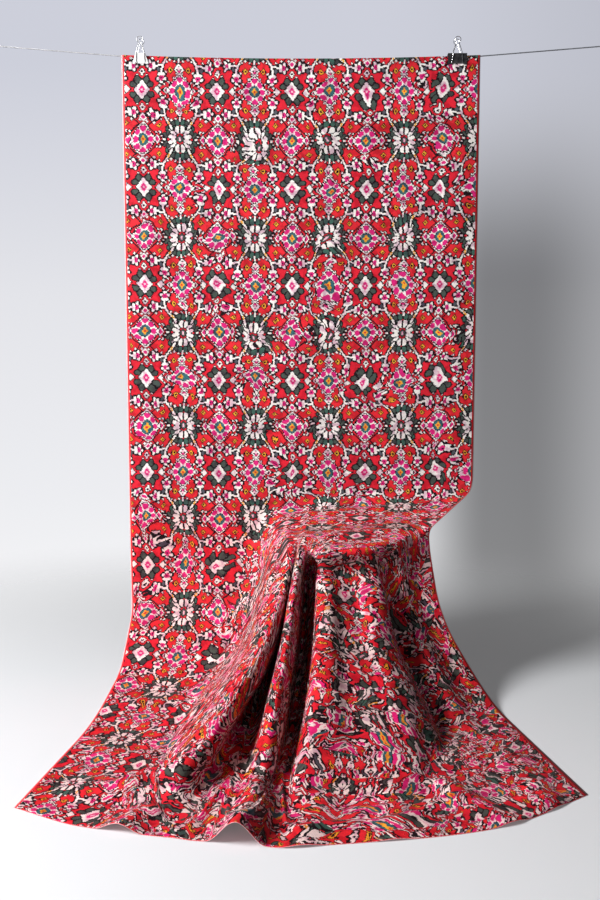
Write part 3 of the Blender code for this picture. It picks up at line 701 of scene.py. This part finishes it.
# ---- node helpers ----------------------------------------------------------------------------------
class Nodes:
    """The nodes of a tree, made one by one and joined as they are made."""

    def __init__(self, tree):
        self.tree = tree

    def put(self, socket, value):
        if isinstance(value, bpy.types.NodeSocket):
            self.tree.links.new(value, socket)
        elif value is not None:
            if isinstance(value, tuple) and len(value) == 3 and socket.type == "RGBA":
                value = (*value, 1.0)
            socket.default_value = value

    def make(self, kind, inputs=(), **settings):
        node = self.tree.nodes.new(kind)
        for key, value in settings.items():
            setattr(node, key, value)
        for key, value in dict(inputs).items():
            self.put(node.inputs[key], value)
        return node

    def math(self, operation, *values):
        node = self.make("ShaderNodeMath", operation=operation)
        for socket, value in zip(node.inputs, values):
            self.put(socket, value)
        return node.outputs[0]

    def plus(self, a, b):
        return self.math("ADD", a, b)

    def minus(self, a, b):
        return self.math("SUBTRACT", a, b)

    def times(self, a, b):
        return self.math("MULTIPLY", a, b)

    def swing(self, chance, amount):
        """A chance from 0 to 1, as a swing of up to half of amount to either side."""
        return self.times(self.minus(chance, 0.5), amount)

    def span(self, value, low, high, to_low=0.0, to_high=1.0):
        """Eases from to_low to to_high while value goes from low to high."""
        node = self.make("ShaderNodeMapRange", interpolation_type="SMOOTHSTEP")
        given = {"Value": value, "From Min": low, "From Max": high, "To Min": to_low, "To Max": to_high}
        for key, setting in given.items():
            self.put(node.inputs[key], setting)
        return node.outputs["Result"]

    def vector(self, x, y, z=0.0):
        node = self.make("ShaderNodeCombineXYZ")
        for socket, value in zip(node.inputs, (x, y, z)):
            self.put(socket, value)
        return node.outputs[0]

    def stretched(self, x, y, scale_x, scale_y):
        return self.vector(self.times(x, scale_x), self.times(y, scale_y))

    def apart(self, vector):
        """The three parts of a vector or colour."""
        return self.make("ShaderNodeSeparateXYZ", {0: vector}).outputs

    def places(self, name):
        """Both coordinates of one of the cloth's UV maps."""
        parts = self.apart(self.make("ShaderNodeUVMap", uv_map=name).outputs[0])
        return parts[0], parts[1]

    def object_place(self):
        return self.make("ShaderNodeTexCoord").outputs["Object"]

    def noise(self, vector, scale, detail=2.0, rough=0.5):
        node = self.make("ShaderNodeTexNoise", {"Scale": scale, "Detail": detail, "Roughness": rough})
        self.put(node.inputs["Vector"], vector)
        return node.outputs["Fac"]

    def mix(self, share, a, b, blend="MIX"):
        node = self.make("ShaderNodeMix", data_type="RGBA", blend_type=blend, clamp_factor=True)
        for key, value in ((0, share), (6, a), (7, b)):
            self.put(node.inputs[key], value)
        return node.outputs[2]

    def tinted(self, colour, tint):
        return self.mix(1.0, colour, tint, "MULTIPLY")

    def shaded(self, colour, tone):
        return self.tinted(colour, self.vector(tone, tone, tone))

    def ramp(self, share, colours, kind="LINEAR"):
        """A colour for each share from 0 to 1, by pairs of place and colour; CONSTANT makes flat bands."""
        node = self.make("ShaderNodeValToRGB", {"Fac": share})
        node.color_ramp.interpolation = kind
        elements = node.color_ramp.elements
        elements.remove(elements[1])
        elements[0].position = colours[0][0]
        elements[0].color = (*colours[0][1], 1.0)
        for place, colour in colours[1:]:
            elements.new(place).color = (*colour, 1.0)
        return node.outputs["Color"]

    def bump(self, height, distance, strength, normal=None):
        node = self.make("ShaderNodeBump", {"Height": height, "Distance": distance, "Strength": strength})
        self.put(node.inputs["Normal"], normal)
        return node.outputs["Normal"]


class Skin(Nodes):
    """The nodes of a new material."""

    def __init__(self, name):
        self.material = bpy.data.materials.new(name)
        self.material.use_nodes = True
        super().__init__(self.material.node_tree)
        self.shader = self.tree.nodes["Principled BSDF"]

    def set(self, **values):
        for key, value in values.items():
            self.put(self.shader.inputs[key.replace("_", " ")], value)
        return self.material


# ---- the silk ----------------------------------------------------------------------------------------
def chart_colour(n, across, down):
    """The chart's colour at a place: each row of stitches is one ramp, and the row number picks it."""
    column = n.math("DIVIDE", n.math("PINGPONG", across, float(COLUMNS)), float(COLUMNS))
    row = n.math("PINGPONG", down, float(ROWS))
    colour = None
    for k, line in enumerate(drawn_chart()):
        starts = [0] + [i for i in range(1, COLUMNS) if line[i] != line[i - 1]]
        stitches = n.ramp(column, [(i / COLUMNS, SILKS[line[i]]) for i in starts], "CONSTANT")
        colour = n.mix(n.math("GREATER_THAN", row, float(k)), colour, stitches) if k else stitches
    return colour


def strayed(n, flat_x, flat_y, edge_x, edge_y):
    """How far the pattern strays from its place, across and down, in stitches."""
    # it wanders a little everywhere, as threads pack unevenly
    spot = n.vector(flat_x, flat_y)
    folded = n.span(flat_y, *FOLDED_DOWN)
    slip = n.span(n.noise(spot, 6.5, 1.0), 0.50, 0.64, *SLIP)
    slip = n.times(slip, n.plus(n.times(folded, FOLDED_SLIP), 1.0))
    wander_x = n.swing(n.noise(spot, 11.0, 3.0), slip)
    wander_y = n.swing(n.noise(n.vector(flat_y, flat_x), 10.0, 3.0), slip)
    # in the folds it is jumbled more finely, by places that never double back as the flat map does there
    place = n.vector(edge_x, edge_y)
    jumble = n.times(folded, n.span(flat_x, *JUMBLE_ACROSS, JUMBLE_LEFT * JUMBLE, JUMBLE))
    wander_x = n.plus(wander_x, n.swing(n.noise(place, 26.0), jumble))
    wander_y = n.plus(wander_y, n.swing(n.noise(n.vector(edge_y, edge_x), 29.0), jumble))
    # and there it is broken into patches, each from another part of the repeat and at a lean of its own
    broken = n.times(n.span(flat_y, *PATCHES_DOWN), n.span(flat_x, *PATCHES_ACROSS))
    patch = n.make("ShaderNodeTexVoronoi", {"Vector": place, "Scale": PATCHES})
    chance = n.apart(patch.outputs["Color"])
    middle = n.apart(patch.outputs["Position"])
    lean = n.swing(chance[2], PATCH_LEAN * 2 * COLUMNS / REPEAT_WIDTH)
    slide_x = n.plus(n.swing(chance[0], PATCH_SLIDE[0]), n.times(lean, n.minus(edge_y, middle[1])))
    slide_y = n.plus(n.swing(chance[1], PATCH_SLIDE[1]), n.times(lean, n.minus(middle[0], edge_x)))
    return n.plus(wander_x, n.times(broken, slide_x)), n.plus(wander_y, n.times(broken, slide_y))


def crowding(n, flat_x, flat_y):
    """How far the rows are shifted: they crowd together over the shelf, and at the roll and the right panel the
    shift changes across the cloth, which draws long streaks down it. It fades towards the hem."""
    wider = n.math("MAXIMUM", n.times(n.minus(flat_y, STREAKS_WIDEN), WIDENING), 0.0)
    roll_wider = n.times(wider, ROLL_WIDENING)
    roll = n.span(flat_x, n.minus(ROLL_STREAKS[0], roll_wider), n.plus(ROLL_STREAKS[1], roll_wider))
    panel = n.span(flat_x, PANEL_STREAKS[0], n.plus(PANEL_STREAKS[1], wider))
    shift = n.minus(roll, n.times(panel, PANEL_RETURN))
    shift = n.times(shift, n.span(flat_y, *SHELF_STREAKS, 0.0, 2.0 * ROWS))
    return n.times(shift, n.span(flat_y, STREAKS_WIDEN, STREAKS_END, 1.0, 0.0))


def silk_front():
    """The figured face: the chart on the flat cloth, its uneven tones, its selvedges and hem, and its weave."""
    n = Skin("silk_front")
    flat_x, flat_y = n.places("Flat")
    edge_x, edge_y = n.places("Edge")
    spot = n.vector(flat_x, flat_y)
    across = n.times(n.minus(flat_x, MEDALLION_ACROSS), 2 * COLUMNS / REPEAT_WIDTH)
    down = n.times(n.minus(flat_y, MEDALLION_DOWN), 2 * ROWS / REPEAT_LENGTH)
    down = n.plus(down, crowding(n, flat_x, flat_y))
    # towards the foot the folds fan out, and the repeat is drawn closer there
    fan = n.times(n.math("MAXIMUM", n.minus(flat_x, FAN_FROM), 0.0), n.span(flat_y, *FAN_DOWN))
    across = n.plus(across, n.times(fan, FAN * COLUMNS / REPEAT_WIDTH))
    wander_x, wander_y = strayed(n, flat_x, flat_y, edge_x, edge_y)
    ragged = n.swing(n.noise(spot, 330.0, 1.0), RAGGED)
    colour = chart_colour(n, n.plus(n.plus(across, wander_x), ragged), n.plus(n.plus(down, wander_y), ragged))

    worn = n.span(n.noise(spot, 48.0), 0.46, 0.62)
    colour = n.tinted(colour, n.mix(worn, UNTINTED, WORN_TINT))
    # from the shelf down the cloth is tinted a deeper crimson, a little redder and with less green and blue
    colour = n.tinted(colour, n.mix(n.span(flat_y, *DEEPER_DOWN), UNTINTED, FOLD_TINT))
    tone = n.span(n.noise(spot, 14.0, 3.0), 0.3, 0.7, 0.80, 1.08)
    fleck = n.span(n.noise(n.stretched(flat_x, flat_y, 260.0, 900.0), 1.0, 1.0), 0.3, 0.7, 0.86, 1.10)
    colour = n.shaded(n.shaded(colour, tone), fleck)

    # selvedges: a red band with a pale outer cord, and a narrow hem band at the foot
    from_side = n.math("MINIMUM", edge_x, n.minus(CLOTH_WIDTH, edge_x))
    band = n.math("MAXIMUM", n.math("LESS_THAN", from_side, SELVEDGE), n.math("LESS_THAN", edge_y, HEM_BAND))
    colour = n.mix(band, colour, n.mix(n.noise(n.stretched(edge_x, edge_y, 300.0, 60.0), 1.0), *SELVEDGE_REDS))
    colour = n.mix(n.math("LESS_THAN", from_side, CORD), colour, CORD_PINK)

    # weft ribs, and coloured threads that float a little over the ground
    bright = n.make("ShaderNodeRGBToBW", {"Color": colour}).outputs[0]
    rib = n.math("SINE", n.times(flat_y, 2 * pi / RIB))
    warp = n.math("SINE", n.times(flat_x, 2 * pi / WARP))
    normal = n.bump(n.plus(n.times(rib, 0.6), n.times(warp, 0.4)), 0.00012, 0.5)
    normal = n.bump(bright, 0.0005, 0.5, normal)
    normal = n.bump(n.noise(spot, 45.0, 3.0), 0.0025, 0.35, normal)
    return n.set(
        Base_Color=colour, Roughness=n.span(bright, 0.02, 0.6, 0.58, 0.42), Normal=normal,
        Sheen_Weight=0.01, Sheen_Roughness=0.4, Specular_IOR_Level=0.12,
    )


def silk_back():
    """The reverse: loose floats of every colour run across it in thin streaks over a pale red ground."""
    n = Skin("silk_back")
    flat_x, flat_y = n.places("Flat")
    streak = n.noise(n.stretched(flat_x, flat_y, 22.0, 620.0), 1.0, 2.0, 0.6)
    floats = n.ramp(streak, [(place, SILKS[silk]) for place, silk in BACK_FLOATS], "CONSTANT")
    ground = n.mix(n.noise(n.vector(flat_x, flat_y), 30.0), *BACK_GROUNDS)
    colour = n.mix(0.45, floats, ground)
    return n.set(Base_Color=colour, Roughness=0.6, Normal=n.bump(streak, 0.0008, 0.6), Sheen_Weight=0.08)


def silk_rim():
    """The thin edge all round: the ends and sides of pale and red threads."""
    n = Skin("silk_rim")
    edge_x, edge_y = n.places("Edge")
    threads = n.noise(n.stretched(edge_x, edge_y, 500.0, 500.0), 1.0)
    colour = n.mix(n.span(threads, 0.35, 0.65), *RIM_PINKS)
    return n.set(Base_Color=colour, Roughness=0.65, Normal=n.bump(threads, 0.0004, 0.6))


# ---- metal and enamel --------------------------------------------------------------------------------
def metal(name, colour, rough, grain, scratch_scale, painted_shade_colour=None, metallic=1.0):
    """Drawn or plated metal, faintly scratched and uneven; a colour given for its right end is painted shade,
    faded in from a lighter left end that stands for a painted reflection of the light.
    """
    n = Skin(name)
    spot = n.object_place()
    if painted_shade_colour:
        # painted light and shade: lighter at the left as a painted reflection, darker towards the right as
        # painted shade
        colour = n.mix(n.span(n.apart(spot)[0], -0.5, 0.5), colour, painted_shade_colour)
    smudge = n.noise(spot, 60.0, 3.0)
    return n.set(
        Base_Color=n.shaded(colour, n.span(smudge, 0.3, 0.7, 0.86, 1.06)), Metallic=metallic,
        Roughness=n.span(smudge, 0.3, 0.7, rough * 0.8, rough * 1.3),
        Normal=n.bump(n.noise(spot, scratch_scale, 4.0, 0.6), 0.0002, grain),
    )


def enamel(name, dark, light):
    """Stoved enamel, a little uneven."""
    n = Skin(name)
    spot = n.object_place()
    smudge = n.noise(spot, 90.0, 3.0)
    return n.set(
        Base_Color=n.mix(n.span(smudge, 0.4, 0.7), dark, light),
        Roughness=n.span(smudge, 0.3, 0.7, 0.24, 0.40), Coat_Weight=0.4, Coat_Roughness=0.15,
        Normal=n.bump(n.noise(spot, 900.0), 0.0001, 0.3),
    )


# ---- build -----------------------------------------------------------------------------------------
# the wire's colours are painted light: a painted reflection at the left end and painted shade at the right end
WIRE_PAINTED_LIT_LEFT, WIRE_PAINTED_SHADE_RIGHT = (0.55, 0.55, 0.57), (0.20, 0.21, 0.23)
wire = build_wire()
wire.data.materials.append(metal("steel_wire_skin", WIRE_PAINTED_LIT_LEFT, 0.40, 0.3, 700.0, WIRE_PAINTED_SHADE_RIGHT, 0.3))
build_cloth((silk_front(), silk_back(), silk_rim()))

steel = metal("steel_fitting_skin", (0.50, 0.51, 0.53), 0.28, 0.4, 420.0)
nickel = metal("nickel_skin", (0.78, 0.78, 0.80), 0.20, 0.25, 520.0)
bright_nickel = metal("bright_nickel_skin", (0.93, 0.93, 0.94), 0.34, 0.2, 520.0)
black_enamel = enamel("black_enamel_coat", (0.016, 0.016, 0.018), (0.034, 0.034, 0.037))
white_enamel = enamel("white_enamel_coat", (0.82, 0.82, 0.81), (0.90, 0.90, 0.89))
FINISHES = (
    ("wire_end_left", steel, "steel_wire"),
    ("wire_end_right", steel, "steel_wire"),
    ("wall_eye_left", steel, "steel_wire"),
    ("wall_eye_right", steel, "steel_wire"),
    ("clip_left_body", white_enamel, "white_enamel"),
    ("clip_right_body", black_enamel, "black_enamel"),
    ("clip_left_handle_front", bright_nickel, "nickel_plate"),
    ("clip_left_handle_back", bright_nickel, "nickel_plate"),
    ("clip_right_handle_front", nickel, "nickel_plate"),
    ("clip_right_handle_back", nickel, "nickel_plate"),
)
for node_name, surface, slot_name in FINISHES:
    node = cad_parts[node_name]
    node.data.materials.clear()
    node.data.materials.append(surface)


# ---- floor, light, world -----------------------------------------------------------------------------
FLOOR_GREYS = (0.665, 0.675, 0.695), (0.695, 0.705, 0.725)
FLOOR_FADE = (0.8, 2.5)  # distance from the middle over which the floor fades out
FLOOR_GLOW = 0.10  # seen by the camera alone
# The backdrop's colours, by the height of the view: 0 is straight down and 1 is straight up.
BACKDROP = (
    (0.36, (0.935, 0.935, 0.945)),
    (0.43, (0.845, 0.85, 0.88)),
    (0.52, (0.775, 0.78, 0.82)),
    (0.62, (0.61, 0.625, 0.705)),
)
AMBIENT, AMBIENT_POWER = (0.92, 0.95, 1.0), 0.06
LIGHTS_AIM = (0.0, 0.2, 0.7)


def build_floor():
    """A plain pale floor that fades out far from the cloth."""
    bpy.ops.mesh.primitive_plane_add(size=30)
    floor = bpy.context.object
    floor.name = "studio_floor"
    n = Skin("floor_paint")
    spot = n.object_place()
    far = n.make("ShaderNodeVectorMath", {0: spot}, operation="LENGTH").outputs["Value"]
    seen = n.make("ShaderNodeLightPath").outputs["Is Camera Ray"]
    n.set(
        Base_Color=n.mix(n.noise(spot, 2.0), *FLOOR_GREYS), Roughness=0.7,
        Emission_Color=(1.0, 1.0, 1.0), Emission_Strength=n.times(seen, FLOOR_GLOW),
    )
    clear = n.make("ShaderNodeBsdfTransparent")
    blend = n.make("ShaderNodeMixShader", {0: n.span(far, *FLOOR_FADE)})
    n.put(blend.inputs[1], n.shader.outputs[0])
    n.put(blend.inputs[2], clear.outputs[0])
    n.put(n.tree.nodes["Material Output"].inputs["Surface"], blend.outputs[0])
    floor.data.materials.append(n.material)


def build_world():
    """A plain pale surround, brighter to look at than it is as a light."""
    world = bpy.data.worlds.new("studio")
    bpy.context.scene.world = world
    world.use_nodes = True
    n = Nodes(world.node_tree)
    way = n.apart(n.make("ShaderNodeTexCoord").outputs["Generated"])
    # the cloth's soft shade behind it, on the side away from the light
    shade = n.times(n.span(way[0], 0.08, 0.175, 0.0, 0.70), n.span(way[0], 0.21, 0.30, 1.0, 0.62))
    shade = n.times(shade, n.span(way[2], 0.05, 0.25, 1.0, 0.0))
    seen = n.tree.nodes["Background"]
    n.put(seen.inputs[0], n.ramp(n.math("MULTIPLY_ADD", way[2], 0.5, 0.5), BACKDROP))
    # the backdrop is also painted darker towards the right, as painted shade on the side away from the light
    n.put(seen.inputs[1], n.times(n.minus(1.0, shade), n.span(way[0], 0.05, 0.30, 1.0, 0.84)))
    light = n.make("ShaderNodeBackground", {0: AMBIENT, 1: AMBIENT_POWER})
    blend = n.make("ShaderNodeMixShader", {0: n.make("ShaderNodeLightPath").outputs["Is Camera Ray"]})
    n.put(blend.inputs[1], light.outputs[0])
    n.put(blend.inputs[2], seen.outputs[0])
    n.put(n.tree.nodes["World Output"].inputs[0], blend.outputs[0])


def area_light(name, place, size, power):
    data = bpy.data.lights.new(name, "AREA")
    data.shape = "DISK"
    data.size = size
    data.energy = power
    light = bpy.data.objects.new(name, data)
    light.location = place
    light.rotation_euler = (Vector(LIGHTS_AIM) - Vector(place)).to_track_quat("-Z", "Y").to_euler()
    bpy.context.scene.collection.objects.link(light)


bpy.context.scene.view_settings.view_transform = "Standard"
build_floor()
build_world()
area_light("key", (-2.9, -1.6, 2.4), 1.7, 260)
area_light("fill", (0.6, -3.6, 2.4), 2.4, 9)
